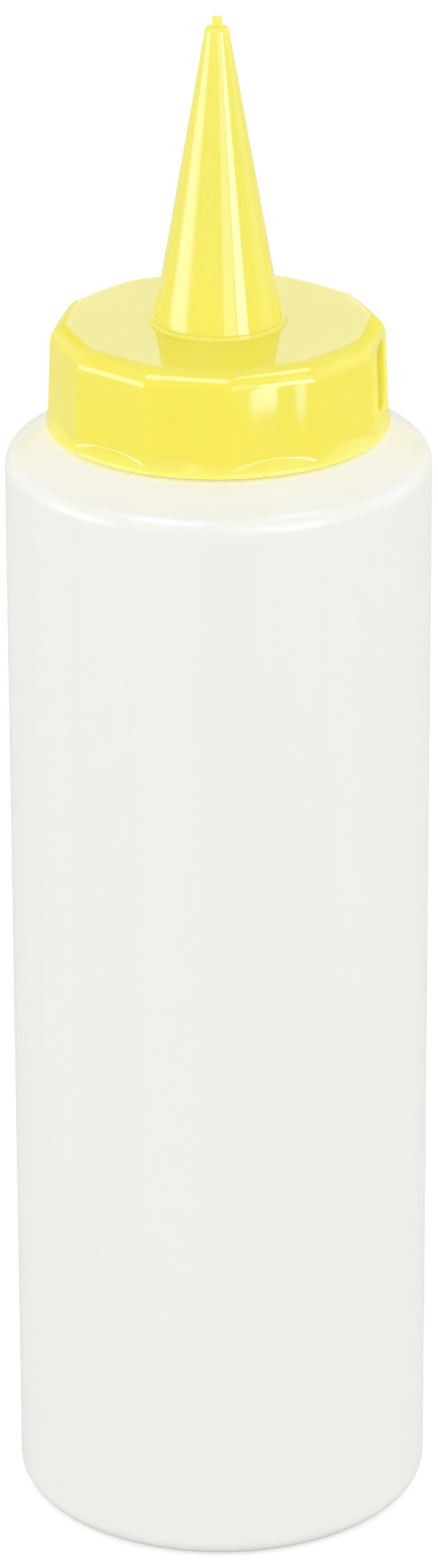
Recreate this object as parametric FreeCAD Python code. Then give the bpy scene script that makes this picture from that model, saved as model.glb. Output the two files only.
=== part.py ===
import FreeCAD, Part
import math
import os

from FreeCAD import Placement, Rotation, Vector

# Squeeze bottle for sauces: a blown soft-plastic body and a moulded cap with a long cone nozzle.
# Millimetres. Z is up along the bottle's axis, and the origin is on that axis in the plane the
# bottle stands on.

# ---------------------------------------------------------------- bottle body
BODY_DIAMETER = 55.0
BODY_WALL = 1.0
BASE_ROUND = 2.5            # outside radius between the side and the base

LEDGE_HEIGHT = 151.1        # flat ledge at the top of the shoulder, which the neck stands on
LEDGE_WIDTH = 2.9           # from the neck out to where the shoulder starts to fall
LEDGE_ROUND = 1.5           # outside radius between the ledge and the sloping shoulder
SHOULDER_SLOPE = 33.0       # degrees below level that the shoulder falls towards the side
SHOULDER_ROUND = 2.5        # outside radius between the side and the shoulder

PUSH_UP_DEPTH = 1.6         # the middle of the base is pushed up, so the bottle rests on a ring
FOOT_WIDTH = 3.0            # flat width of that ring
PUSH_UP_RUN = 4.0           # width over which the base climbs from the ring
PUSH_UP_ROUND = 1.5         # outside radius where it does so

# ---------------------------------------------------------------- neck
NECK_DIAMETER = 37.2
NECK_WALL = 1.6
NECK_HEIGHT = 12.35         # from the ledge up to the rim, which the cap closes on
NECK_ROOT_ROUND = 0.8
NECK_RIM_ROUND = 0.5

# ---------------------------------------------------------------- cap
CAP_SIDES = 12
CAP_TURN = 4.5              # degrees from the front (-Y) to the nearest corner, towards +X
CAP_PLATE = 1.6             # thickness of the flat top
CAP_WALL = 2.3              # from the bore to the middle of a side of the grip, at the foot
CAP_DRAFT = 2.2             # degrees that each side of the grip leans in
CAP_TOP_ROUND = 2.3         # edge between the sides and the flat top
CAP_BORE_CLEARANCE = 0.35   # round the neck, on the radius
CAP_FOOT_GAP = 0.35         # between the cap's foot and the ledge

FLANGE_PROUD = 0.2          # how far the foot flange stands out past the grip's corners
FLANGE_HEIGHT = 1.5         # its upright edge
FLANGE_SLOPE_HEIGHT = 1.4   # the flange's top runs up into the sides over this height
FLANGE_TOP_ROUND = 1.0
FLANGE_FOOT_ROUND = 0.3

SLOT_WIDTH = 5.2            # two opposite grip slots
SLOT_DEPTH = 1.1
SLOT_ABOVE_FOOT = 3.0       # from the cap's foot up to the slot
SLOT_BELOW_TOP = 2.0        # from the slot up to the flat top
SLOT_SIDE = 2               # sides counted from the front one, towards +X
SLOT_ROUND = 1.5

# ---------------------------------------------------------------- nozzle
NOZZLE_LENGTH = 38.95       # from the flat top to the shoulder of the tip
NOZZLE_TIP_DIAMETER = 2.85  # where the cone would meet the plane of the tip's shoulder
NOZZLE_HALF_ANGLE = 9.95    # degrees
NOZZLE_WALL = 1.3
NOZZLE_TIP_WALL = 3.0       # solid plastic left at the sealed tip
TIP_ROUND = 0.7

BEAD_PROUD = 0.55           # small ring round the foot of the cone
BEAD_HEIGHT = 0.8
BEAD_ROUND = 0.5

NUB_DIAMETER = 1.25         # moulding nub left on the tip
NUB_HEIGHT = 1.2
NUB_ROUND = 0.25

CUT_PAST = 1.0              # how far a cutter runs past the faces that it cuts through
SAME_POINT = 1e-6           # points nearer than this are one

# ---------------------------------------------------------------- worked out from the above
BODY_RADIUS = BODY_DIAMETER / 2
NECK_RADIUS = NECK_DIAMETER / 2
LEDGE_RADIUS = NECK_RADIUS + LEDGE_WIDTH
EDGE_HEIGHT = LEDGE_HEIGHT - (BODY_RADIUS - LEDGE_RADIUS) * math.tan(math.radians(SHOULDER_SLOPE))
RIM_HEIGHT = LEDGE_HEIGHT + NECK_HEIGHT

CAP_FOOT = LEDGE_HEIGHT + CAP_FOOT_GAP
CAP_TOP = RIM_HEIGHT + CAP_PLATE
CAP_BORE_RADIUS = NECK_RADIUS + CAP_BORE_CLEARANCE
HALF_SIDE_ANGLE = math.radians(180 / CAP_SIDES)
CAP_FLAT_RADIUS = CAP_BORE_RADIUS + CAP_WALL
CAP_CORNER_RADIUS = CAP_FLAT_RADIUS / math.cos(HALF_SIDE_ANGLE)
FLANGE_RADIUS = CAP_CORNER_RADIUS + FLANGE_PROUD

CONE_SLOPE = math.tan(math.radians(NOZZLE_HALF_ANGLE))
TIP_HEIGHT = CAP_TOP + NOZZLE_LENGTH
TIP_RADIUS = NOZZLE_TIP_DIAMETER / 2


# ---------------------------------------------------------------- helpers
def rounded_outline(corners):
    """Closed wire in the XZ plane through (r, z, rounding) corners; a rounding of 0 stays sharp.

    Where two neighbouring arcs wouldn't fit on the straight between them, both get smaller."""
    count = len(corners)
    points = [Vector(r, 0, z) for r, z, rounding in corners]
    sides = [points[(index + 1) % count] - points[index] for index in range(count)]
    half_angles = [sides[index].getAngle(-sides[index - 1]) / 2 for index in range(count)]
    reaches = [corner[2] / math.tan(half) for corner, half in zip(corners, half_angles)]
    fits = []
    for index in range(count):
        wanted = reaches[index] + reaches[(index + 1) % count]
        fits.append(1 if wanted == 0 else min(1, sides[index].Length / wanted))

    edges = []
    last_end = None
    for index, (point, half) in enumerate(zip(points, half_angles)):
        share = min(fits[index - 1], fits[index])
        rounding = corners[index][2] * share
        start = end = point
        if rounding > 0:
            back = -Vector(sides[index - 1]).normalize()
            forward = Vector(sides[index]).normalize()
            middle = (back + forward).normalize()
            start = point + back * reaches[index] * share
            end = point + forward * reaches[index] * share
            on_arc = point + middle * (rounding / math.sin(half) - rounding)
        if last_end is None:
            first_start = start
        elif (start - last_end).Length > SAME_POINT:
            edges.append(Part.makeLine(last_end, start))
        if rounding > 0:
            edges.append(Part.Arc(start, on_arc, end).toShape())
        last_end = end
    if (first_start - last_end).Length > SAME_POINT:
        edges.append(Part.makeLine(last_end, first_start))
    return Part.Wire(edges)


def turned(corners):
    """Solid of revolution about Z."""
    face = Part.Face(rounded_outline(corners))
    return face.revolve(Vector(0, 0, 0), Vector(0, 0, 1), 360)


def cone_radius(height):
    """Outside radius of the nozzle's cone at a height."""
    return TIP_RADIUS + (TIP_HEIGHT - height) * CONE_SLOPE


def grip_ring(height):
    """Twelve-sided wire of the grip at a height; its sides lean in by the draft."""
    corner_radius = CAP_CORNER_RADIUS - (height - CAP_FOOT) * math.tan(math.radians(CAP_DRAFT))
    points = []
    for side in range(CAP_SIDES + 1):
        angle = math.radians(CAP_TURN) + 2 * HALF_SIDE_ANGLE * side
        points.append(Vector(corner_radius * math.sin(angle), -corner_radius * math.cos(angle), height))
    return Part.makePolygon(points)


# ---------------------------------------------------------------- pieces
def make_bottle():
    """Hollow body with its neck, one blown piece of even wall."""
    foot_inner = BODY_RADIUS - BASE_ROUND - FOOT_WIDTH
    outside = [
        (0, PUSH_UP_DEPTH, 0),
        (foot_inner - PUSH_UP_RUN, PUSH_UP_DEPTH, PUSH_UP_ROUND),
        (foot_inner, 0, PUSH_UP_ROUND),
        (BODY_RADIUS, 0, BASE_ROUND),
        (BODY_RADIUS, EDGE_HEIGHT, SHOULDER_ROUND),
        (LEDGE_RADIUS, LEDGE_HEIGHT, LEDGE_ROUND),
        (NECK_RADIUS, LEDGE_HEIGHT, NECK_ROOT_ROUND),
        (NECK_RADIUS, RIM_HEIGHT, NECK_RIM_ROUND),
    ]
    # The inside follows the outside one wall further in. Where the wall turns by the shoulder's
    # slope, its inner corner also shifts along the wall.
    slope = math.radians(SHOULDER_SLOPE)
    edge_shift = BODY_WALL * math.tan((math.pi / 2 - slope) / 2)
    ledge_shift = BODY_WALL * math.tan(slope / 2)
    bore = NECK_RADIUS - NECK_WALL
    inside = [
        (bore, RIM_HEIGHT, 0),
        (bore, LEDGE_HEIGHT - BODY_WALL, NECK_ROOT_ROUND + BODY_WALL),
        (LEDGE_RADIUS - ledge_shift, LEDGE_HEIGHT - BODY_WALL, LEDGE_ROUND - BODY_WALL),
        (BODY_RADIUS - BODY_WALL, EDGE_HEIGHT - edge_shift, SHOULDER_ROUND - BODY_WALL),
        (BODY_RADIUS - BODY_WALL, BODY_WALL, BASE_ROUND - BODY_WALL),
        (foot_inner, BODY_WALL, PUSH_UP_ROUND + BODY_WALL),
        (foot_inner - PUSH_UP_RUN, PUSH_UP_DEPTH + BODY_WALL, PUSH_UP_ROUND),
        (0, PUSH_UP_DEPTH + BODY_WALL, 0),
    ]
    return turned(outside + inside)


def make_cap():
    """Grip, flange and nozzle, one moulded piece, hollow from below."""
    # The grip starts half-way up the flange's edge, so that the flange alone makes the foot.
    grip_foot = CAP_FOOT + FLANGE_HEIGHT / 2
    grip = Part.makeLoft([grip_ring(grip_foot), grip_ring(CAP_TOP)], True, True)
    rim = [edge for edge in grip.Edges if edge.BoundBox.ZMin > (CAP_FOOT + CAP_TOP) / 2]
    grip = grip.makeFillet(CAP_TOP_ROUND, rim)

    slope_top = CAP_FOOT + FLANGE_HEIGHT + FLANGE_SLOPE_HEIGHT
    flange = turned([
        (0, CAP_FOOT, 0),
        (FLANGE_RADIUS, CAP_FOOT, FLANGE_FOOT_ROUND),
        (FLANGE_RADIUS, CAP_FOOT + FLANGE_HEIGHT, FLANGE_TOP_ROUND),
        (CAP_FLAT_RADIUS - SLOT_DEPTH, slope_top, 0),
        (0, slope_top, 0),
    ])

    bead_radius = cone_radius(CAP_TOP) + BEAD_PROUD
    bead_top = CAP_TOP + BEAD_HEIGHT
    nozzle = turned([
        (0, CAP_TOP - CAP_PLATE, 0),
        (bead_radius, CAP_TOP - CAP_PLATE, 0),
        (bead_radius, bead_top, BEAD_ROUND),
        (cone_radius(bead_top), bead_top, 0),
        (TIP_RADIUS, TIP_HEIGHT, TIP_ROUND),
        (NUB_DIAMETER / 2, TIP_HEIGHT, 0),
        (NUB_DIAMETER / 2, TIP_HEIGHT + NUB_HEIGHT, NUB_ROUND),
        (0, TIP_HEIGHT + NUB_HEIGHT, 0),
    ])

    passage_top = TIP_HEIGHT - NOZZLE_TIP_WALL
    bore = turned([
        (0, CAP_FOOT - CUT_PAST, 0),
        (CAP_BORE_RADIUS, CAP_FOOT - CUT_PAST, 0),
        (CAP_BORE_RADIUS, RIM_HEIGHT, 0),
        (cone_radius(RIM_HEIGHT) - NOZZLE_WALL, RIM_HEIGHT, 0),
        (cone_radius(passage_top) - NOZZLE_WALL, passage_top, 0),
        (0, passage_top, 0),
    ])

    cap = grip.fuse(flange).fuse(nozzle).cut(bore)
    for turn in (0, 180):
        cap = cap.cut(grip_slot(turn))
    return cap.removeSplitter()


def grip_slot(turn):
    """Cutter for one grip slot, in the middle of its side, turned about the axis by degrees."""
    height = CAP_TOP - SLOT_BELOW_TOP - (CAP_FOOT + SLOT_ABOVE_FOOT)
    slot_floor = CAP_FLAT_RADIUS - SLOT_DEPTH
    reach = FLANGE_RADIUS + CUT_PAST - slot_floor
    cutter = Part.makeBox(SLOT_WIDTH, reach, height, Vector(-SLOT_WIDTH / 2, -slot_floor - reach, 0))
    long_edges = [edge for edge in cutter.Edges if edge.BoundBox.YLength > reach / 2]
    cutter = cutter.makeFillet(SLOT_ROUND, long_edges)
    side_angle = CAP_TURN + (SLOT_SIDE + 0.5) * 360 / CAP_SIDES
    cutter.Placement = Placement(Vector(0, 0, CAP_FOOT + SLOT_ABOVE_FOOT),
                                 Rotation(Vector(0, 0, 1), side_angle + turn))
    return cutter


# ---------------------------------------------------------------- export
PIECES = {
    "bottle": make_bottle,
    "cap": make_cap,
}

os.makedirs("parts", exist_ok=True)
for node, make in PIECES.items():
    shape = make()
    if len(shape.Solids) != 1 or not shape.isValid():
        raise ValueError(f"{node}: {len(shape.Solids)} solids, valid {shape.isValid()}")
    solid = shape.Solids[0]
    solid.exportStep(f"parts/{node}.step")
    box = solid.optimalBoundingBox()
    print(f"{node}: volume {solid.Volume / 1000:.2f} cm3, "
          f"z {box.ZMin:.2f} to {box.ZMax:.2f}, x {box.XMin:.2f} to {box.XMax:.2f}")
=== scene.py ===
# %% [markdown]
# # A squeeze bottle for sauces
#
# The real thing is two mouldings. The body is blown from milky soft polyethylene, and the cap is
# injected from glossy yellow polyethylene: a twelve-sided grip on a round flange, drawn out into a
# long cone that is cut open at the tip when the bottle is first used.
#
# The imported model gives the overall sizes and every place, and the smaller sizes repeat the part's
# own. Both pieces are made again here as finer meshes on the same outlines, because a glossy
# moulding shows each facet of a coarse mesh.

import math

import bpy
from mathutils import Matrix, Vector


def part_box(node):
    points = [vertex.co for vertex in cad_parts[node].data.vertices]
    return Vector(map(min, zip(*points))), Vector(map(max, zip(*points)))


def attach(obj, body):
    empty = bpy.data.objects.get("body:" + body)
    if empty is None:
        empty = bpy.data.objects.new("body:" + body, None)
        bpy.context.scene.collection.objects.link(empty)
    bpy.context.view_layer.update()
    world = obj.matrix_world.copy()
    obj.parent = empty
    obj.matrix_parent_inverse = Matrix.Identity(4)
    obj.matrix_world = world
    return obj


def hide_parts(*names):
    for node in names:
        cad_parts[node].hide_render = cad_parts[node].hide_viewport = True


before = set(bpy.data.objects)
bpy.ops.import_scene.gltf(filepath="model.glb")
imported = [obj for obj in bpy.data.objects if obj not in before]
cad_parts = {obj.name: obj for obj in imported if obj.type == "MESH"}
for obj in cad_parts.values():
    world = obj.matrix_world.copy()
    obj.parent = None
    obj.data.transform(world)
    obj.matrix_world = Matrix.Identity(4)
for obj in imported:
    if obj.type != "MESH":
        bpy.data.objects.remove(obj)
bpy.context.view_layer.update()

# %% Sizes read from the frame
MM = 0.001
bottle_low, bottle_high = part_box("bottle")
cap_low, cap_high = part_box("cap")

BODY_RADIUS = bottle_high.x
RIM_HEIGHT = bottle_high.z
FLANGE_RADIUS = cap_high.x
CAP_FOOT = cap_low.z
NUB_TOP = cap_high.z
print(f"body {2000 * BODY_RADIUS:.1f} mm across, rim at {1000 * RIM_HEIGHT:.2f} mm,"
      f" cap from {1000 * CAP_FOOT:.2f} to {1000 * NUB_TOP:.2f} mm")

# %% [markdown]
# ## Outlines
#
# Both pieces are turned about the bottle's axis, so each starts as an outline of (r, z) corners.
# A moulding has no sharp corner, because plastic does not flow into one, so every corner has a
# radius. A bevel modifier could round the finished mesh, but then the radii could not differ from
# corner to corner. Here each corner is replaced by its arc before anything is turned.
#
# A straight stretch gets one extra point close to each end. Those rings hold the shading flat
# right up to the arc. Without them the smooth normals bleed across the whole flat.

# %% Rounded outlines
ARC_STEP = math.radians(9)


def rounded_outline(corners):
    """Straight stretches and arcs through (r, z, rounding) corners, as a list of lists of points."""
    stretches = []
    for index, (r, z, rounding) in enumerate(corners):
        here = Vector((r, z))
        if rounding == 0 or index in (0, len(corners) - 1):
            stretches.append([here])
            continue
        back = (Vector(corners[index - 1][:2]) - here).normalized()
        forward = (Vector(corners[index + 1][:2]) - here).normalized()
        half = back.angle(forward) / 2
        middle = (back + forward).normalized()
        centre = here + middle * (rounding / math.sin(half))
        start = here + back * (rounding / math.tan(half)) - centre
        sweep = math.pi - 2 * half
        turn = 1 if back.x * forward.y - back.y * forward.x < 0 else -1
        steps = max(2, math.ceil(sweep / ARC_STEP))
        arc = []
        for step in range(steps + 1):
            angle = turn * sweep * step / steps
            arc.append(centre + Vector((
                start.x * math.cos(angle) - start.y * math.sin(angle),
                start.x * math.sin(angle) + start.y * math.cos(angle),
            )))
        stretches.append(arc)
    return stretches


def ring_places(corners, longest, hold):
    """(r, z) of every ring along an outline, no two further apart than longest.

    hold is how far from each end a straight stretch has its extra ring.
    """
    places = []
    for stretch in rounded_outline(corners):
        if places:
            start, end = places[-1], stretch[0]
            length = (end - start).length
            if length > 3 * hold:
                inner = length - 2 * hold
                steps = max(1, math.ceil(inner / longest))
                for step in range(steps + 1):
                    places.append(start.lerp(end, (hold + inner * step / steps) / length))
        places.extend(point.copy() for point in stretch)
    tidy = [places[0]]
    for place in places[1:]:
        if (place - tidy[-1]).length > 1e-6:
            tidy.append(place)
    return tidy


# %% [markdown]
# ## From rings to a mesh
#
# A spin in edit mode would turn an outline too, but the cap's grip is not round. So the mesh is
# woven from rings that all have the same number of points: a ring may be a circle, a polygon or
# anything between, and the columns still run straight from one to the next. That gives clean
# quads everywhere, and one closed skin from the inside of the piece to its outside.

# %% Weave rings into a closed skin
def weave(name, rings, first_pole, last_pole):
    """Mesh object through rings of points, closed at both ends by a point on the axis."""
    count = len(rings[0])
    points = [first_pole] + [point for ring in rings for point in ring] + [last_pole]
    faces = []
    for column in range(count):
        following = (column + 1) % count
        faces.append((0, 1 + following, 1 + column))
        for row in range(len(rings) - 1):
            low = 1 + row * count
            high = low + count
            faces.append((low + column, low + following, high + following, high + column))
        top = 1 + (len(rings) - 1) * count
        faces.append((top + column, top + following, len(points) - 1))
    mesh = bpy.data.meshes.new(name)
    mesh.from_pydata(points, [], faces)
    mesh.shade_smooth()
    piece = bpy.data.objects.new(name, mesh)
    bpy.context.scene.collection.objects.link(piece)
    print(name, "rings", len(rings), "columns", count, "faces", len(mesh.polygons))
    return piece


def circle(radius, height, columns):
    """Ring of evenly spaced points, counted from the front (-Y) towards +X."""
    ring = []
    for column in range(columns):
        angle = 2 * math.pi * column / columns
        ring.append(Vector((radius * math.sin(angle), -radius * math.cos(angle), height)))
    return ring


# %% [markdown]
# ## The body
#
# The body is blown: a hot tube is pinched in a mould and inflated, so its wall is thin and even,
# its corners are soft, and the middle of the base is pushed up so that the bottle stands on a
# ring. It is hollow here too, with a real inner wall, because light goes through the wall and
# that is what gives the plastic its milky look.

# %% Body sizes
WALL = 1.0 * MM
BASE_ROUND = 2.5 * MM
FOOT_WIDTH = 3.0 * MM
PUSH_UP = 1.6 * MM
PUSH_UP_RUN = 4.0 * MM
PUSH_UP_ROUND = 1.5 * MM

NECK_HEIGHT = 12.35 * MM
LEDGE_HEIGHT = RIM_HEIGHT - NECK_HEIGHT
NECK_RADIUS = 18.6 * MM
NECK_WALL = 1.6 * MM
NECK_FOOT_ROUND = 0.8 * MM
RIM_ROUND = 0.5 * MM
LEDGE_WIDTH = 2.9 * MM
LEDGE_RADIUS = NECK_RADIUS + LEDGE_WIDTH
LEDGE_ROUND = 1.5 * MM
SHOULDER_SLOPE = math.radians(33)
SHOULDER_ROUND = 2.5 * MM
EDGE_HEIGHT = LEDGE_HEIGHT - (BODY_RADIUS - LEDGE_RADIUS) * math.tan(SHOULDER_SLOPE)
FOOT_INNER = BODY_RADIUS - BASE_ROUND - FOOT_WIDTH
print(f"ledge at {1000 * LEDGE_HEIGHT:.2f} mm, side ends at {1000 * EDGE_HEIGHT:.2f} mm")

# %% Body outline, outside then inside
body_outside = [
    (0, PUSH_UP, 0),
    (FOOT_INNER - PUSH_UP_RUN, PUSH_UP, PUSH_UP_ROUND),
    (FOOT_INNER, 0, PUSH_UP_ROUND),
    (BODY_RADIUS, 0, BASE_ROUND),
    (BODY_RADIUS, EDGE_HEIGHT, SHOULDER_ROUND),
    (LEDGE_RADIUS, LEDGE_HEIGHT, LEDGE_ROUND),
    (NECK_RADIUS, LEDGE_HEIGHT, NECK_FOOT_ROUND),
    (NECK_RADIUS, RIM_HEIGHT, RIM_ROUND),
]
edge_shift = WALL * math.tan((math.pi / 2 - SHOULDER_SLOPE) / 2)
ledge_shift = WALL * math.tan(SHOULDER_SLOPE / 2)
body_inside = [
    (NECK_RADIUS - NECK_WALL, RIM_HEIGHT, 0.3 * MM),
    (NECK_RADIUS - NECK_WALL, LEDGE_HEIGHT - WALL, 1.8 * MM),
    (LEDGE_RADIUS - ledge_shift, LEDGE_HEIGHT - WALL, 0.5 * MM),
    (BODY_RADIUS - WALL, EDGE_HEIGHT - edge_shift, SHOULDER_ROUND - WALL),
    (BODY_RADIUS - WALL, WALL, BASE_ROUND - WALL),
    (FOOT_INNER, WALL, PUSH_UP_ROUND),
    (FOOT_INNER - PUSH_UP_RUN, PUSH_UP + WALL, PUSH_UP_ROUND),
    (0, PUSH_UP + WALL, 0),
]
body_places = ring_places(body_outside + body_inside, longest=4 * MM, hold=0.25 * MM)
print("body rings", len(body_places))

# %% Weave the body
BODY_COLUMNS = 192
body = weave(
    "bottle_body",
    [circle(place.x, place.y, BODY_COLUMNS) for place in body_places[1:-1]],
    Vector((0, 0, PUSH_UP)),
    Vector((0, 0, PUSH_UP + WALL)),
)
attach(body, "root")
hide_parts("bottle")

# %% [markdown]
# ## The cap
#
# The grip has twelve flat sides that lean in a little, so that the moulding comes out of its
# tool, and its upright edges are hardly rounded. Low down the flats run into a round flange, and
# at the top they turn over a wide radius into the flat top. The cone stands on that, with a small
# half-round bead about its foot.
#
# All of it is one skin. Each column keeps its place round the grip, and every ring says how far
# out that column lies.

# %% Cap sizes
SIDES = 12
SIDE_ANGLE = 2 * math.pi / SIDES
CORNER_TURN = math.radians(4.5)
CORNER_ROUND = 0.45 * MM
TOP_CORNER_ROUND = 3.0 * MM
CORNER_STEPS = 6
FLAT_STEPS = 12
SIDE_CROWN = 0.14 * MM

TOP_PLATE = 1.6 * MM
CAP_TOP = RIM_HEIGHT + TOP_PLATE
DRAFT = math.radians(2.2)
FLANGE_PROUD = 0.2 * MM
FLAT_RADIUS = (FLANGE_RADIUS - FLANGE_PROUD) * math.cos(SIDE_ANGLE / 2)
TOP_ROUND = 2.3 * MM
ROOM_ON_NECK = 0.35 * MM
BORE_RADIUS = NECK_RADIUS + ROOM_ON_NECK
FOOT_ROUND = 0.3 * MM
FLANGE_EDGE = 0.55 * MM
FLANGE_FLARE = math.radians(30)
SLOT_DEPTH = 1.1 * MM
FLARE_TOP = CAP_FOOT + FLANGE_EDGE + (FLANGE_RADIUS - FLAT_RADIUS + SLOT_DEPTH) / math.tan(FLANGE_FLARE)
print(f"grip {2000 * FLAT_RADIUS:.1f} mm across flats, flat top at {1000 * CAP_TOP:.2f} mm")

# %% Nozzle sizes
NUB_HEIGHT = 1.2 * MM
NUB_RADIUS = 0.625 * MM
TIP_HEIGHT = NUB_TOP - NUB_HEIGHT
TIP_RADIUS = 1.425 * MM
TIP_WALL = 3.0 * MM
CONE_HALF_ANGLE = math.radians(9.95)
CONE_SLOPE = math.tan(CONE_HALF_ANGLE)
CONE_WALL = 1.3 * MM
BEAD_PROUD = 0.42 * MM
BEAD_HEIGHT = 0.5 * MM


def cone_radius(height):
    """Outside radius of the cone at a height."""
    return TIP_RADIUS + (TIP_HEIGHT - height) * CONE_SLOPE


print(f"cone {2000 * cone_radius(CAP_TOP):.1f} mm across at its foot")


# %% Rings of the grip
def outward(angle):
    """Unit vector at an angle from the front (-Y) towards +X."""
    return Vector((math.sin(angle), -math.cos(angle)))


def grip_outline(flat_radius, corner_round=CORNER_ROUND):
    """Points round the twelve-sided grip whose sides lie flat_radius from the axis."""
    centre_radius = (flat_radius - corner_round) / math.cos(SIDE_ANGLE / 2)
    corners = []
    for side in range(SIDES):
        middle = CORNER_TURN + side * SIDE_ANGLE
        arc = []
        for step in range(CORNER_STEPS + 1):
            facing = middle + SIDE_ANGLE * (step / CORNER_STEPS - 0.5)
            arc.append(outward(middle) * centre_radius + outward(facing) * corner_round)
        corners.append(arc)
    points = []
    for side, arc in enumerate(corners):
        points.extend(arc)
        following = corners[(side + 1) % SIDES][0]
        side_way = outward(CORNER_TURN + (side + 0.5) * SIDE_ANGLE)
        for step in range(1, FLAT_STEPS):
            share = step / FLAT_STEPS
            crown = SIDE_CROWN * 4 * share * (1 - share)
            points.append(arc[-1].lerp(following, share) + side_way * crown)
    return points


def side_radius(height):
    """Distance from the axis to the middle of a side, which leans in by the draft."""
    return FLAT_RADIUS - (height - CAP_FOOT) * math.tan(DRAFT)


COLUMN_WAYS = [point.normalized() for point in grip_outline(FLAT_RADIUS)]
print("cap columns", len(COLUMN_WAYS))


def raised(points, height):
    """Flat points lifted to a height."""
    return [Vector((point.x, point.y, height)) for point in points]


def round_ring(radius, height):
    """Circle through the same columns."""
    return raised([way * radius for way in COLUMN_WAYS], height)


def flanged_ring(radius, height, blend=0.01 * MM):
    """Whichever stands out further, the flange's circle or the grip, with a soft crease between."""
    points = []
    for point in grip_outline(side_radius(height)):
        apart = point.length - radius
        reach = (point.length + radius + math.sqrt(apart * apart + blend * blend)) / 2
        points.append(point.normalized() * reach)
    return raised(points, height)


# %% [markdown]
# The rings are listed from the deepest point of the nozzle's passage, down the inside, round the
# foot, up the outside and in over the top to the tip. On the flat top a ring changes from
# twelve-sided to round. Nobody sees where, because the top is flat there.

# %% Inside of the cap, down to the foot
passage_top = TIP_HEIGHT - TIP_WALL
inside_corners = [
    (0, passage_top, 0),
    (cone_radius(passage_top) - CONE_WALL, passage_top, 0.3 * MM),
    (cone_radius(RIM_HEIGHT) - CONE_WALL, RIM_HEIGHT, 0.4 * MM),
    (BORE_RADIUS, RIM_HEIGHT, 0.4 * MM),
    (BORE_RADIUS, CAP_FOOT, 0.2 * MM),
    (FLANGE_RADIUS, CAP_FOOT, FOOT_ROUND),
    (FLANGE_RADIUS, CAP_FOOT + FLANGE_EDGE, 0),
]
inside_places = ring_places(inside_corners, longest=3 * MM, hold=0.15 * MM)
# These rings end a hair above the foot's rounding. The flange above that is built with the grip.
foot_end = CAP_FOOT + 1.03 * FOOT_ROUND
cap_rings = [round_ring(place.x, place.y) for place in inside_places[1:]
             if place.y < foot_end or place.x < BORE_RADIUS + 1e-6]
print("inside rings", len(cap_rings))

# %% Flange and grip
flange_corners = [
    (FLANGE_RADIUS, CAP_FOOT + FOOT_ROUND, 0),
    (FLANGE_RADIUS, CAP_FOOT + FLANGE_EDGE, 0.5 * MM),
    (FLAT_RADIUS - SLOT_DEPTH, FLARE_TOP, 0),
]
for place in ring_places(flange_corners, longest=0.07 * MM, hold=0.05 * MM)[1:]:
    cap_rings.append(flanged_ring(place.x, place.y))

HOLD = 0.12 * MM  # how close to an arc its holding ring lies
round_height = CAP_TOP - TOP_ROUND
round_centre = side_radius(round_height) - TOP_ROUND / math.cos(DRAFT)
round_start = round_height + TOP_ROUND * math.sin(DRAFT)
side_steps = 10
for step in range(1, side_steps + 1):
    height = FLARE_TOP + (round_start - FLARE_TOP) * step / (side_steps + 1)
    cap_rings.append(raised(grip_outline(side_radius(height)), height))
near_round = round_start - HOLD
cap_rings.append(raised(grip_outline(side_radius(near_round)), near_round))

# %% Over the top edge
CORNER_FADE = 3.0  # the upright edges have their wide rounding a third of the way over
round_steps = 12
for step in range(round_steps + 1):
    facing = DRAFT + (math.pi / 2 - DRAFT) * step / round_steps
    flat_radius = round_centre + TOP_ROUND * math.cos(facing)
    height = round_height + TOP_ROUND * math.sin(facing)
    share = min(1.0, CORNER_FADE * step / round_steps)
    corner_round = CORNER_ROUND + (TOP_CORNER_ROUND - CORNER_ROUND) * share
    cap_rings.append(raised(grip_outline(flat_radius, corner_round), height))

bead_radius = cone_radius(CAP_TOP) + BEAD_PROUD
top_edge = grip_outline(round_centre - HOLD, TOP_CORNER_ROUND)
cap_rings.append(raised(top_edge, CAP_TOP))
near_bead = bead_radius + 0.5 * MM
for share in (0.3, 0.6, 1):
    cap_rings.append(raised(
        [point.lerp(way * near_bead, share) for point, way in zip(top_edge, COLUMN_WAYS)], CAP_TOP))
print("rings up to the bead", len(cap_rings))

# %% Bead, cone, tip and moulding nub
bead_top = CAP_TOP + BEAD_HEIGHT
nozzle_corners = [
    (near_bead, CAP_TOP, 0),
    (bead_radius, CAP_TOP, 0.12 * MM),
    (bead_radius, bead_top, 0.28 * MM),
    (cone_radius(bead_top), bead_top, 0.08 * MM),
    (TIP_RADIUS, TIP_HEIGHT, 0.7 * MM),
    (NUB_RADIUS, TIP_HEIGHT, 0.1 * MM),
    (NUB_RADIUS, NUB_TOP, 0.25 * MM),
    (0, NUB_TOP, 0),
]
for place in ring_places(nozzle_corners, longest=2 * MM, hold=0.08 * MM)[1:-1]:
    cap_rings.append(round_ring(place.x, place.y))
cap = weave("nozzle_cap", cap_rings, Vector((0, 0, passage_top)), Vector((0, 0, NUB_TOP)))

# %% [markdown]
# ## Grip slots
#
# Two opposite sides have an upright slot for the thumb. They are cut with a boolean, because
# their rounded ends would not follow the cap's columns. The cutter flares a little where it
# leaves the side, so the slot's rim is softened as a moulded one is.

# %% Cut the slots
SLOT_WIDTH = 5.2 * MM
SLOT_ROUND = 1.5 * MM
SLOT_LOW = CAP_FOOT + 3.0 * MM
SLOT_HIGH = CAP_TOP - 2.0 * MM
SLOT_SIDE = 2  # which side has the first slot, counted from the front towards +X
SLOT_ARC_STEPS = 6
RIM_SOFT = 0.1 * MM
# The cutter's rings: how deep each lies, from the slot's floor (0) to the side (1) and then one
# millimetre out for each further 1, and how far it flares, in units of RIM_SOFT.
CUTTER_RINGS = ((0, 0), (0.4, 0), (0.7, 0.1), (1, 1), (1.8, 3.4), (2.4, 5.2))


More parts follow.
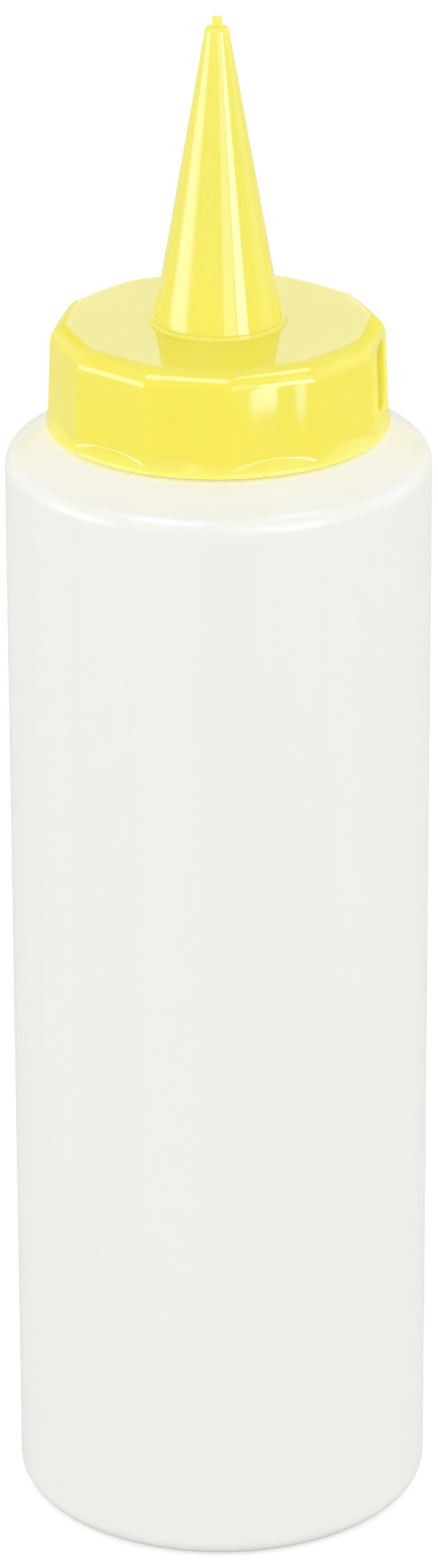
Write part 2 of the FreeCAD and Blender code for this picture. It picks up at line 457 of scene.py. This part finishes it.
def slot_outline(grow):
    """Upright rounded rectangle as (across, height) points, counter-clockwise seen from outside."""
    half_width = SLOT_WIDTH / 2 + grow
    middle = (SLOT_LOW + SLOT_HIGH) / 2
    half_height = (SLOT_HIGH - SLOT_LOW) / 2 + grow
    rounding = SLOT_ROUND + grow
    points = []
    for quarter, (across, up) in enumerate(((1, 1), (-1, 1), (-1, -1), (1, -1))):
        centre = Vector((across * (half_width - rounding), middle + up * (half_height - rounding)))
        for step in range(SLOT_ARC_STEPS + 1):
            angle = math.pi / 2 * (quarter + step / SLOT_ARC_STEPS)
            points.append(centre + rounding * Vector((math.cos(angle), math.sin(angle))))
    return points


def slot_cutter(turn):
    """Closed cutter for the slot in the middle of one side, at an angle round the cap."""
    way = outward(turn)
    side = Vector((-way.y, way.x))
    rings = []
    bottom = FLAT_RADIUS - SLOT_DEPTH
    for depth, grow in CUTTER_RINGS:
        ring = []
        for across, height in slot_outline(grow * RIM_SOFT):
            surface = side_radius(height)
            if depth <= 1:
                radius = bottom + (surface - bottom) * depth
            else:
                radius = surface + (depth - 1) * MM
            point = way * radius + side * across
            ring.append(Vector((point.x, point.y, height)))
        rings.append(ring)
    poles = []
    for ring in (rings[0], rings[-1]):
        poles.append(sum(ring, Vector()) / len(ring))
    return weave(f"slot_cutter_{round(math.degrees(turn))}", rings, poles[0], poles[1])


for opposite in (0, math.pi):
    cutter = slot_cutter(CORNER_TURN + (SLOT_SIDE + 0.5) * SIDE_ANGLE + opposite)
    cut = cap.modifiers.new("slot", "BOOLEAN")
    cut.object = cutter
    cut.operation = "DIFFERENCE"
    cut.solver = "EXACT"
    whole = bpy.data.meshes.new_from_object(cap.evaluated_get(bpy.context.evaluated_depsgraph_get()))
    cap.modifiers.clear()
    cap.data = whole
    bpy.data.objects.remove(cutter)
cap.data.name = "nozzle_cap"
print("cap faces after the slots", len(cap.data.polygons))

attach(cap, "root")
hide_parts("cap")


# %% [markdown]
# ## Finishes
#
# Both plastics are polyethylene, and neither is one even colour. The melt flows in streaks, the
# wall is thicker in one place than in another, and hands leave the gloss uneven. All of that can
# be worked out from a point's place on the piece, so it is made from nodes on the Principled
# shader. Painted images would give the same spots, but they need unwrapped meshes and blur when
# one comes near.

# %% Material helpers
# A Mix node has a set of sockets for each kind of value. These are the numbers of its colour ones.
MIX_A = 6
MIX_B = 7
MIX_RESULT = 2


def new_material(name):
    """Material with a Principled BSDF: the material, its node tree and that node."""
    material = bpy.data.materials.new(name)
    material.use_nodes = True
    tree = material.node_tree
    return material, tree, tree.nodes["Principled BSDF"]


def add(tree, kind, **values):
    """Node with its plain properties and its named inputs set."""
    node = tree.nodes.new(kind)
    for key, value in values.items():
        if hasattr(node, key):
            setattr(node, key, value)
        else:
            node.inputs[key.replace("_", " ")].default_value = value
    return node


# %% [markdown]
# Two effects serve both plastics, each with values of its own, so each effect is a node group.
# A group is built once and then placed in a material as a single node.

# %% Node group helpers
def new_group(name, inputs, output):
    """Shader node group with float inputs and one float output: its tree and its two end nodes."""
    group = bpy.data.node_groups.new(name, "ShaderNodeTree")
    for label, value in inputs.items():
        socket = group.interface.new_socket(label, in_out="INPUT", socket_type="NodeSocketFloat")
        socket.default_value = value
    group.interface.new_socket(output, in_out="OUTPUT", socket_type="NodeSocketFloat")
    return group, add(group, "NodeGroupInput"), add(group, "NodeGroupOutput")


def place_group(tree, group, **values):
    """The group as a node of a material, with its own values."""
    node = tree.nodes.new("ShaderNodeGroup")
    node.node_tree = group
    for key, value in values.items():
        node.inputs[key.replace("_", " ")].default_value = value
    return node


# %% [markdown]
# The first group is the relief. A moulded skin has two sizes of unevenness: slow swells a
# centimetre or two across, where the plastic shrank as it cooled, and the fine grain of the
# tool. Slow swells are what bend a long highlight, and the grain is what softens its edge. The
# group gives a height in metres. A Bump node in each material turns that into slopes.

# %% Relief group
relief_inputs = {"Swell Scale": 60, "Swell Height": 0, "Grain Scale": 2500, "Grain Height": 0}
relief, start, end = new_group("moulded_relief", relief_inputs, "Height")
point = add(relief, "ShaderNodeTexCoord")
swell = add(relief, "ShaderNodeTexNoise", Detail=1.0, Roughness=0.4)
grain = add(relief, "ShaderNodeTexNoise", Detail=2.0, Roughness=0.6)
for noise in (swell, grain):
    relief.links.new(point.outputs["Object"], noise.inputs["Vector"])
relief.links.new(start.outputs["Swell Scale"], swell.inputs["Scale"])
relief.links.new(start.outputs["Grain Scale"], grain.inputs["Scale"])

swell_height = add(relief, "ShaderNodeMath", operation="MULTIPLY")
relief.links.new(swell.outputs["Fac"], swell_height.inputs[0])
relief.links.new(start.outputs["Swell Height"], swell_height.inputs[1])
both_heights = add(relief, "ShaderNodeMath", operation="MULTIPLY_ADD")
relief.links.new(grain.outputs["Fac"], both_heights.inputs[0])
relief.links.new(start.outputs["Grain Height"], both_heights.inputs[1])
relief.links.new(swell_height.outputs[0], both_heights.inputs[2])
relief.links.new(both_heights.outputs[0], end.inputs["Height"])
print("relief group", len(relief.nodes), "nodes")

# %% [markdown]
# The second group is a mask of cloudy patches, from 0 to 1. Stretch squeezes the height before
# the noise is read: a small value draws the patches out into upright streaks, as in a wall that
# was blown from a hanging tube. Low and High say which part of the noise the mask spreads over.

# %% Cloud group
cloud_inputs = {"Scale": 50, "Stretch": 1, "Low": 0.35, "High": 0.65}
cloud, start, end = new_group("cloudy_patches", cloud_inputs, "Mask")
point = add(cloud, "ShaderNodeTexCoord")
parts = add(cloud, "ShaderNodeSeparateXYZ")
cloud.links.new(point.outputs["Object"], parts.inputs[0])
squeezed = add(cloud, "ShaderNodeMath", operation="MULTIPLY")
cloud.links.new(parts.outputs["Z"], squeezed.inputs[0])
cloud.links.new(start.outputs["Stretch"], squeezed.inputs[1])
stretched = add(cloud, "ShaderNodeCombineXYZ")
cloud.links.new(parts.outputs["X"], stretched.inputs["X"])
cloud.links.new(parts.outputs["Y"], stretched.inputs["Y"])
cloud.links.new(squeezed.outputs[0], stretched.inputs["Z"])

patches = add(cloud, "ShaderNodeTexNoise", Detail=3.0, Roughness=0.55)
cloud.links.new(stretched.outputs[0], patches.inputs["Vector"])
cloud.links.new(start.outputs["Scale"], patches.inputs["Scale"])
spread = add(cloud, "ShaderNodeMapRange", interpolation_type="SMOOTHSTEP")
cloud.links.new(patches.outputs["Fac"], spread.inputs["Value"])
cloud.links.new(start.outputs["Low"], spread.inputs["From Min"])
cloud.links.new(start.outputs["High"], spread.inputs["From Max"])
cloud.links.new(spread.outputs["Result"], end.inputs["Mask"])
print("cloud group", len(cloud.nodes), "nodes")

# %% [markdown]
# ### The body
#
# Unfilled polyethylene is milky: light goes in, scatters inside the wall and comes out a little
# way off. Subsurface scattering does that. Its weight is kept low, because a wall of one
# millimetre holds little light, and at full weight the body would turn grey.
#
# The milk is painted a touch warmer towards the top: painted light, for the yellow the cap throws down.
# The gloss is tinted too: the lamps further down are cool, and a warm tint brings them back to white
# here.

# %% Body: milk and its streaks
body_look, tree, plastic = new_material("milky_polyethylene")
link = tree.links.new
plastic.inputs["Subsurface Weight"].default_value = 0.25
plastic.inputs["Subsurface Radius"].default_value = (1.0, 0.95, 0.85)
plastic.inputs["Subsurface Scale"].default_value = 2 * MM
plastic.inputs["Specular Tint"].default_value = (1.0, 0.95, 0.72, 1)

point = add(tree, "ShaderNodeTexCoord")
place = add(tree, "ShaderNodeSeparateXYZ")
link(point.outputs["Object"], place.inputs[0])

# Painted light: the base colour turns warmer with height, for the cap's yellow light.
painted_cap_warmth = add(tree, "ShaderNodeMapRange", From_Min=20 * MM, From_Max=150 * MM)
link(place.outputs["Z"], painted_cap_warmth.inputs["Value"])
milk = add(tree, "ShaderNodeMix", data_type="RGBA")
link(painted_cap_warmth.outputs["Result"], milk.inputs["Factor"])
milk.inputs[MIX_A].default_value = (0.894, 0.886, 0.862, 1)
milk.inputs[MIX_B].default_value = (0.902, 0.892, 0.840, 1)

wall = place_group(tree, cloud, Scale=85, Stretch=0.04, Low=0.3, High=0.7)
streaked = add(tree, "ShaderNodeMix", data_type="RGBA", blend_type="MULTIPLY")
link(wall.outputs["Mask"], streaked.inputs["Factor"])
link(milk.outputs[MIX_RESULT], streaked.inputs[MIX_A])
streaked.inputs[MIX_B].default_value = (0.982, 0.984, 0.988, 1)

# %% [markdown]
# Close under the cap the shoulder is painted with the cap's yellow, as painted light. Part of it
# stands for light that has passed through the flange, which a path tracer only finds with far more
# samples, and part for yellow light thrown back from the cap. So the milk is painted yellower by
# height over the last few millimetres below the ledge, and a very weak painted yellow glow fills the
# crack beneath the flange, as painted light that lifts the shade where the translucent plastic lets
# light through and stays pale.

# %% Body: painted light under the cap
CAP_LIGHT_REACH = 4.6 * MM
CRACK_GLOW_REACH = 0.65 * MM
# Painted yellow light on the shoulder, by height below the ledge.
painted_cap_light_mask = add(tree, "ShaderNodeMapRange", interpolation_type="SMOOTHSTEP",
               From_Min=LEDGE_HEIGHT - CAP_LIGHT_REACH, From_Max=LEDGE_HEIGHT)
link(place.outputs["Z"], painted_cap_light_mask.inputs["Value"])
painted_cap_light = add(tree, "ShaderNodeMix", data_type="RGBA")
link(painted_cap_light_mask.outputs["Result"], painted_cap_light.inputs["Factor"])
link(streaked.outputs[MIX_RESULT], painted_cap_light.inputs[MIX_A])
painted_cap_light.inputs[MIX_B].default_value = (0.935, 0.925, 0.84, 1)
link(painted_cap_light.outputs[MIX_RESULT], plastic.inputs["Base Color"])

# Painted glow: a weak yellow emission that lifts the shade in the crack under the flange.
painted_glow_mask = add(tree, "ShaderNodeMapRange", interpolation_type="SMOOTHERSTEP",
               From_Min=LEDGE_HEIGHT - CRACK_GLOW_REACH, From_Max=LEDGE_HEIGHT)
link(place.outputs["Z"], painted_glow_mask.inputs["Value"])
painted_crack_glow = add(tree, "ShaderNodeMix", data_type="RGBA")
link(painted_glow_mask.outputs["Result"], painted_crack_glow.inputs["Factor"])
painted_crack_glow.inputs[MIX_A].default_value = (0.0, 0.0, 0.0, 1)
painted_crack_glow.inputs[MIX_B].default_value = (0.075, 0.08, 0.065, 1)
link(painted_crack_glow.outputs[MIX_RESULT], plastic.inputs["Emission Color"])
plastic.inputs["Emission Strength"].default_value = 1.0

# %% [markdown]
# A blown bottle touches its mould on the outside only, and comes out satin. The gloss changes in
# patches, where the skin met the mould a little earlier or later. The mould's two halves part in
# the plane y = 0, and leave a faint raised seam up both sides.

# %% Body: satin, swells and seam
SEAM_HEIGHT = 0.03 * MM
SEAM_HALF_WIDTH = 0.3 * MM
patches = place_group(tree, cloud, Scale=45, Stretch=0.5, Low=0.3, High=0.7)
satin = add(tree, "ShaderNodeMapRange", To_Min=0.19, To_Max=0.25)
link(patches.outputs["Mask"], satin.inputs["Value"])
link(satin.outputs["Result"], plastic.inputs["Roughness"])

texture = place_group(tree, relief, Swell_Scale=45, Swell_Height=0.12 * MM,
                      Grain_Scale=2600, Grain_Height=0.003 * MM)
beside = add(tree, "ShaderNodeMath", operation="ABSOLUTE")
link(place.outputs["Y"], beside.inputs[0])
seam = add(tree, "ShaderNodeMapRange", interpolation_type="SMOOTHSTEP",
           From_Min=0.05 * MM, From_Max=SEAM_HALF_WIDTH, To_Min=SEAM_HEIGHT, To_Max=0.0)
link(beside.outputs[0], seam.inputs["Value"])
skin = add(tree, "ShaderNodeMath", operation="ADD")
link(texture.outputs["Height"], skin.inputs[0])
link(seam.outputs["Result"], skin.inputs[1])
bump = add(tree, "ShaderNodeBump", Strength=1.0, Distance=1.0)
link(skin.outputs[0], bump.inputs["Height"])
link(bump.outputs["Normal"], plastic.inputs["Normal"])
body.data.materials.append(body_look)
print("body material", len(tree.nodes), "nodes")

# %% [markdown]
# ### The cap
#
# The yellow is in the plastic itself. Injected plastic flows from the middle outwards and leaves
# slow clouds of slightly deeper and paler colour. Red and yellow light travel far in it and blue
# hardly at all, so the three scattering distances differ widely.
#
# The colour is painted palest where the plastic is thin and light comes through from behind: at the
# flange's edge and in the cone. The flat top and the cone's foot are painted a little paler too. A
# ramp over the height holds all this painted light. Light that has come up through the shoulder also
# fills the shadow at the very foot, as a painted glow.

# %% Cap: yellow
cap_look, tree, plastic = new_material("yellow_polyethylene")
link = tree.links.new
plastic.inputs["Subsurface Weight"].default_value = 0.4
plastic.inputs["Subsurface Radius"].default_value = (1.0, 0.7, 0.1)
plastic.inputs["Subsurface Scale"].default_value = 2 * MM

point = add(tree, "ShaderNodeTexCoord")
place = add(tree, "ShaderNodeSeparateXYZ")
link(point.outputs["Object"], place.inputs[0])
height = add(tree, "ShaderNodeMapRange", From_Min=CAP_FOOT, From_Max=NUB_TOP)
link(place.outputs["Z"], height.inputs["Value"])
yellow_and_painted_light = add(tree, "ShaderNodeValToRGB")
link(height.outputs["Result"], yellow_and_painted_light.inputs["Fac"])
# Paler than the grip, these yellows are painted light: backlight at the flange's edge and the tip,
# light on the flat top and the cone's foot.
FLANGE_YELLOW_PAINTED_LIGHT = (0.915, 0.838, 0.160, 1)
GRIP_YELLOW = (0.907, 0.817, 0.094, 1)
FLAT_TOP_YELLOW_PAINTED_LIGHT = (0.909, 0.820, 0.122, 1)
CONE_FOOT_YELLOW_PAINTED_LIGHT = (0.909, 0.819, 0.110, 1)
TIP_YELLOW_PAINTED_LIGHT = (0.912, 0.828, 0.140, 1)
stops = yellow_and_painted_light.color_ramp.elements
stops[0].position = 0.008
stops[0].color = FLANGE_YELLOW_PAINTED_LIGHT
stops[1].position = 1.0
stops[1].color = TIP_YELLOW_PAINTED_LIGHT
for share_of_height, colour in (
        (0.042, GRIP_YELLOW),
        (0.250, GRIP_YELLOW),
        (0.252, FLAT_TOP_YELLOW_PAINTED_LIGHT),
        (0.290, CONE_FOOT_YELLOW_PAINTED_LIGHT)):
    stops.new(share_of_height).color = colour

flow = place_group(tree, cloud, Scale=70, Stretch=0.35, Low=0.25, High=0.75)
clouded = add(tree, "ShaderNodeMix", data_type="RGBA", blend_type="MULTIPLY")
link(flow.outputs["Mask"], clouded.inputs["Factor"])
link(yellow_and_painted_light.outputs["Color"], clouded.inputs[MIX_A])
clouded.inputs[MIX_B].default_value = (0.988, 0.982, 0.90, 1)
link(clouded.outputs[MIX_RESULT], plastic.inputs["Base Color"])

# Painted light: a weak emission at the very foot fills its shadow.
PAINTED_FOOT_LIGHT_REACH = 0.9 * MM
painted_foot_light_mask = add(tree, "ShaderNodeMapRange", interpolation_type="SMOOTHSTEP",
              From_Min=CAP_FOOT, From_Max=CAP_FOOT + PAINTED_FOOT_LIGHT_REACH, To_Min=1.0, To_Max=0.0)
link(place.outputs["Z"], painted_foot_light_mask.inputs["Value"])
painted_foot_light = add(tree, "ShaderNodeMix", data_type="RGBA")
link(painted_foot_light_mask.outputs["Result"], painted_foot_light.inputs["Factor"])
painted_foot_light.inputs[MIX_A].default_value = (0.0, 0.0, 0.0, 1)
painted_foot_light.inputs[MIX_B].default_value = (0.10, 0.095, 0.06, 1)
link(painted_foot_light.outputs[MIX_RESULT], plastic.inputs["Emission Color"])
plastic.inputs["Emission Strength"].default_value = 1.0

# %% [markdown]
# The cap's tool is polished, so the cap is nearly a mirror, and its highlights have edges. The
# grip and the cone are handled, which dulls them in small smudges. The swells are very shallow.
# They make the reflected edges waver without looking dented.

# %% Cap: gloss, smudges and swells
smudges = place_group(tree, cloud, Scale=150, Stretch=0.7, Low=0.4, High=0.75)
gloss = add(tree, "ShaderNodeMapRange", To_Min=0.045, To_Max=0.10)
link(smudges.outputs["Mask"], gloss.inputs["Value"])
link(gloss.outputs["Result"], plastic.inputs["Roughness"])

texture = place_group(tree, relief, Swell_Scale=90, Swell_Height=0.02 * MM,
                      Grain_Scale=3500, Grain_Height=0.0002 * MM)
bump = add(tree, "ShaderNodeBump", Strength=1.0, Distance=1.0)
link(texture.outputs["Height"], bump.inputs["Height"])
link(bump.outputs["Normal"], plastic.inputs["Normal"])
cap.data.materials.clear()
cap.data.materials.append(cap_look)
print("cap material", len(tree.nodes), "nodes")

# %% [markdown]
# ## Studio
#
# The bottle stands on white paper in a white room. The paper is a plain matt sheet that reaches
# fifteen metres each way, so that no edge of it shows in the gloss.
#
# Paper lit to full white would throw so much light up that the lower body would glow, and the
# bottle's shadow would drown in it. So the sheet itself is light grey, and the rest of the way
# to white is added only for rays that come straight from the camera. In the gloss the added part
# is much weaker, because there the floor should stay a darker ground under the highlights.

# %% Floor
FLOOR_HALF = 15.0
LIFT_TO_CAMERA = 0.45
LIFT_IN_GLOSS = 0.04
floor_mesh = bpy.data.meshes.new("floor")
floor_corners = [(x * FLOOR_HALF, y * FLOOR_HALF, 0) for x, y in ((-1, -1), (1, -1), (1, 1), (-1, 1))]
floor_mesh.from_pydata(floor_corners, [], [(0, 1, 2, 3)])
floor = bpy.data.objects.new("floor", floor_mesh)
bpy.context.scene.collection.objects.link(floor)

floor_look, tree, paper = new_material("white_paper")
paper.inputs["Base Color"].default_value = (0.72, 0.72, 0.72, 1)
paper.inputs["Roughness"].default_value = 1.0
paper.inputs["Specular IOR Level"].default_value = 0.0
paths = add(tree, "ShaderNodeLightPath")
mirrored = add(tree, "ShaderNodeMath", operation="MAXIMUM")
tree.links.new(paths.outputs["Is Glossy Ray"], mirrored.inputs[0])
tree.links.new(paths.outputs["Is Transmission Ray"], mirrored.inputs[1])
faint = add(tree, "ShaderNodeMath", operation="MULTIPLY")
faint.inputs[1].default_value = LIFT_IN_GLOSS
tree.links.new(mirrored.outputs[0], faint.inputs[0])
lift = add(tree, "ShaderNodeMath", operation="MULTIPLY_ADD")
lift.inputs[1].default_value = LIFT_TO_CAMERA
tree.links.new(paths.outputs["Is Camera Ray"], lift.inputs[0])
tree.links.new(faint.outputs[0], lift.inputs[2])
paper.inputs["Emission Color"].default_value = (1, 1, 1, 1)
tree.links.new(lift.outputs[0], paper.inputs["Emission Strength"])
floor_mesh.materials.append(floor_look)
print("floor", 2 * FLOOR_HALF, "m square")

# %% [markdown]
# The room lights the bottle evenly from all sides. It is brighter low down than overhead, as in a
# room with big diffusers standing round the table, and that keeps the upright walls as light as
# the shoulder. Rays from the camera and rays that mirror off the gloss see plain white instead,
# so the backdrop can be white whatever level of light the bottle needs.

# %% World
LOW_LIGHT = 1.9
OVERHEAD_LIGHT = 0.72
world = bpy.data.worlds.new("studio")
bpy.context.scene.world = world
world.use_nodes = True
tree = world.node_tree
room = tree.nodes["Background"]
room.inputs["Color"].default_value = (1, 1, 1, 1)
way = add(tree, "ShaderNodeTexCoord")
parts = add(tree, "ShaderNodeSeparateXYZ")
tree.links.new(way.outputs["Generated"], parts.inputs[0])
ceiling = add(tree, "ShaderNodeMapRange", interpolation_type="SMOOTHSTEP",
              From_Min=0.32, From_Max=0.55, To_Min=LOW_LIGHT, To_Max=OVERHEAD_LIGHT)
tree.links.new(parts.outputs["Z"], ceiling.inputs["Value"])
tree.links.new(ceiling.outputs["Result"], room.inputs["Strength"])

paths = add(tree, "ShaderNodeLightPath")
seen = add(tree, "ShaderNodeMath", operation="MAXIMUM")
seen_or_bent = add(tree, "ShaderNodeMath", operation="MAXIMUM")
tree.links.new(paths.outputs["Is Camera Ray"], seen.inputs[0])
tree.links.new(paths.outputs["Is Glossy Ray"], seen.inputs[1])
tree.links.new(seen.outputs[0], seen_or_bent.inputs[0])
tree.links.new(paths.outputs["Is Transmission Ray"], seen_or_bent.inputs[1])
white = add(tree, "ShaderNodeBackground", Color=(1, 1, 1, 1), Strength=1.0)
either = add(tree, "ShaderNodeMixShader")
tree.links.new(seen_or_bent.outputs[0], either.inputs["Fac"])
tree.links.new(room.outputs[0], either.inputs[1])
tree.links.new(white.outputs[0], either.inputs[2])
tree.links.new(either.outputs[0], tree.nodes["World Output"].inputs["Surface"])

# %% [markdown]
# What makes plastic look glossy is not how much light falls on it but what it mirrors. The lamps
# here are seen only in the gloss, and add nothing to the light on the bottle. Each is given by
# the part of the surroundings it fills, seen from the middle of the cap: its azimuth from the
# front, towards +X, and its elevation. With those angles a highlight can be moved without
# working out any distances.
#
# The lamps are cooler than the room. Yellow plastic already sends back nearly all red light, and
# a white highlight on top of it would burn out to a flat lemon patch.

# %% Places as seen from the cap
LAMP_TINT = (0.3, 0.5, 1.0)


def facing_cap(azimuth, elevation, distance):
    """Place, rotation, width and height of a panel that fills these spans of azimuth and elevation."""
    middle = [math.radians(sum(span) / 2) for span in (azimuth, elevation)]
    half = [math.radians((span[1] - span[0]) / 2) for span in (azimuth, elevation)]
    way = Vector((
        math.sin(middle[0]) * math.cos(middle[1]),
        -math.cos(middle[0]) * math.cos(middle[1]),
        math.sin(middle[1]),
    ))
    width = 2 * distance * math.tan(half[0]) * math.cos(middle[1])
    height = 2 * distance * math.tan(half[1])
    place = Vector((0, 0, CAP_TOP)) + way * distance
    return place, (-way).to_track_quat("-Z", "Y"), width, height


# %% [markdown]
# A real softbox is brightest in the middle and dies away towards its frame. The fall from middle
# to frame comes from the lamp's own nodes, and soft says how wide it is. A bare area lamp would
# draw hard-edged bands on the cone.

# %% Softboxes
def softbox(name, azimuth, elevation, distance, strength, soft):
    """Lamp seen only in gloss, brightest in its middle; soft is the share of it that fades."""
    lamp = bpy.data.lights.new(name, "AREA")
    lamp.shape = "RECTANGLE"
    place, turn, lamp.size, lamp.size_y = facing_cap(azimuth, elevation, distance)
    lamp.energy = strength * math.pi * lamp.size * lamp.size_y
    lamp.color = LAMP_TINT
    lamp.use_nodes = True
    tree = lamp.node_tree
    spot = add(tree, "ShaderNodeNewGeometry")
    sides = add(tree, "ShaderNodeSeparateXYZ")
    tree.links.new(spot.outputs["Parametric"], sides.inputs[0])
    falls = []
    for side in ("X", "Y"):
        offset = add(tree, "ShaderNodeMath", operation="SUBTRACT")
        offset.inputs[1].default_value = 0.5
        off_middle = add(tree, "ShaderNodeMath", operation="ABSOLUTE")
        fall = add(tree, "ShaderNodeMapRange", interpolation_type="SMOOTHSTEP",
                   From_Min=0.5 - soft, From_Max=0.5, To_Min=1.0, To_Max=0.0)
        tree.links.new(sides.outputs[side], offset.inputs[0])
        tree.links.new(offset.outputs[0], off_middle.inputs[0])
        tree.links.new(off_middle.outputs[0], fall.inputs["Value"])
        falls.append(fall.outputs["Result"])
    both = add(tree, "ShaderNodeMath", operation="MULTIPLY")
    tree.links.new(falls[0], both.inputs[0])
    tree.links.new(falls[1], both.inputs[1])
    tree.links.new(both.outputs[0], tree.nodes["Emission"].inputs["Strength"])
    holder = bpy.data.objects.new(name, lamp)
    holder.location = place
    holder.rotation_mode = "QUATERNION"
    holder.rotation_quaternion = turn
    holder.visible_camera = False
    holder.visible_diffuse = False
    bpy.context.scene.collection.objects.link(holder)
    print(name, f"{lamp.size:.2f} x {lamp.size_y:.2f} m, {lamp.energy:.2f} W")
    return holder


# %% [markdown]
# Large softboxes stand left, front, right and overhead. The window is smaller and brighter. Its
# foot and its edge show as a bright pane and a narrow stripe in one side of the grip, with a
# dark bar between them. The side wall and the backdrop are faint, and only lay a soft band on the
# sides that face them.

# %% Set up the lamps
softbox("left_softbox", (-104, -50), (-17, 13), 0.56, 5.9, 0.34)
softbox("front_softbox", (-66, -6), (35.5, 67), 0.6, 6.5, 0.24)
softbox("right_softbox", (8, 36), (-9, 30), 0.585, 3.4, 0.2)
softbox("window", (34.6, 56), (-9, 12.5), 0.585, 9.5, 0.06)
softbox("window_foot", (34.6, 38.9), (-15.6, -9), 0.585, 8.4, 0.03)
softbox("window_edge", (41.8, 43.4), (-15.8, -9), 0.585, 5.5, 0.03)
softbox("window_top", (36, 60), (11, 36), 0.585, 1.5, 0.3)
softbox("overhead_softbox", (46, 96), (50, 72), 0.6, 6.0, 0.22)
softbox("side_wall", (80, 122), (-17, 38), 0.6, 0.9, 0.3)
softbox("backdrop", (168, 192), (2, 24), 0.6, 0.6, 0.1)


# %% [markdown]
# At both ends of the cap the rounded edge mirrors what stands behind the bottle, and would wash
# out to white there. Yellow cards behind the bottle keep those ends deep yellow. In a studio such
# a card is called a flag. A third and smaller one stands low down, for the narrow side at the far
# right. Like the lamps, the cards are seen only in the gloss.

# %% Flags
flag_look, tree, card = new_material("yellow_card")
card.inputs["Base Color"].default_value = (0.98, 0.91, 0.33, 1)
card.inputs["Roughness"].default_value = 1.0
card.inputs["Specular IOR Level"].default_value = 0.0


def flag(name, azimuth, elevation, distance):
    """Yellow card seen only in the gloss, over these spans of azimuth and elevation."""
    place, turn, width, height = facing_cap(azimuth, elevation, distance)
    corners = [(x * width / 2, y * height / 2, 0) for x, y in ((-1, -1), (1, -1), (1, 1), (-1, 1))]
    mesh = bpy.data.meshes.new(name)
    mesh.from_pydata(corners, [], [(0, 1, 2, 3)])
    mesh.materials.append(flag_look)
    panel = bpy.data.objects.new(name, mesh)
    panel.location = place
    panel.rotation_mode = "QUATERNION"
    panel.rotation_quaternion = turn
    panel.visible_camera = False
    panel.visible_diffuse = False
    panel.visible_shadow = False
    bpy.context.scene.collection.objects.link(panel)
    return panel


flag("flag_left", (-171, -146), (0.5, 30), 0.6)
flag("flag_right", (146, 171), (0.5, 30), 0.6)
flag("flag_low", (148, 168), (-22.4, -18.5), 0.36)

# %% [markdown]
# ## Camera
#
# The camera looks down at the bottle by 23 degrees through a long lens, from not quite a metre
# away, so the body narrows only a little towards its foot. The small roll belongs to a camera
# that was held or mounted not quite level.

# %% Camera
CAMERA_PLACE = Vector((0, -0.79824, 0.4389))
LOOKS_DOWN = 22.96
ROLL = -0.215
PAN = 0.0070
camera = bpy.data.cameras.new("camera")
holder = bpy.data.objects.new("camera", camera)
bpy.context.scene.collection.objects.link(holder)
bpy.context.scene.camera = holder
camera.sensor_width = 36
camera.lens = 151.45
camera.clip_start = 0.01
camera.clip_end = 60
holder.location = CAMERA_PLACE
holder.rotation_mode = "QUATERNION"
look = Matrix.Rotation(math.radians(90 - LOOKS_DOWN), 3, "X")
roll = Matrix.Rotation(math.radians(ROLL), 3, "Z")
turn = Matrix.Rotation(math.radians(PAN), 3, "Z")
holder.rotation_quaternion = (turn @ look @ roll).to_quaternion()

bpy.context.scene.view_settings.view_transform = "Standard"
print(f"camera {1000 * CAMERA_PLACE.length:.0f} mm from the bottle's foot")
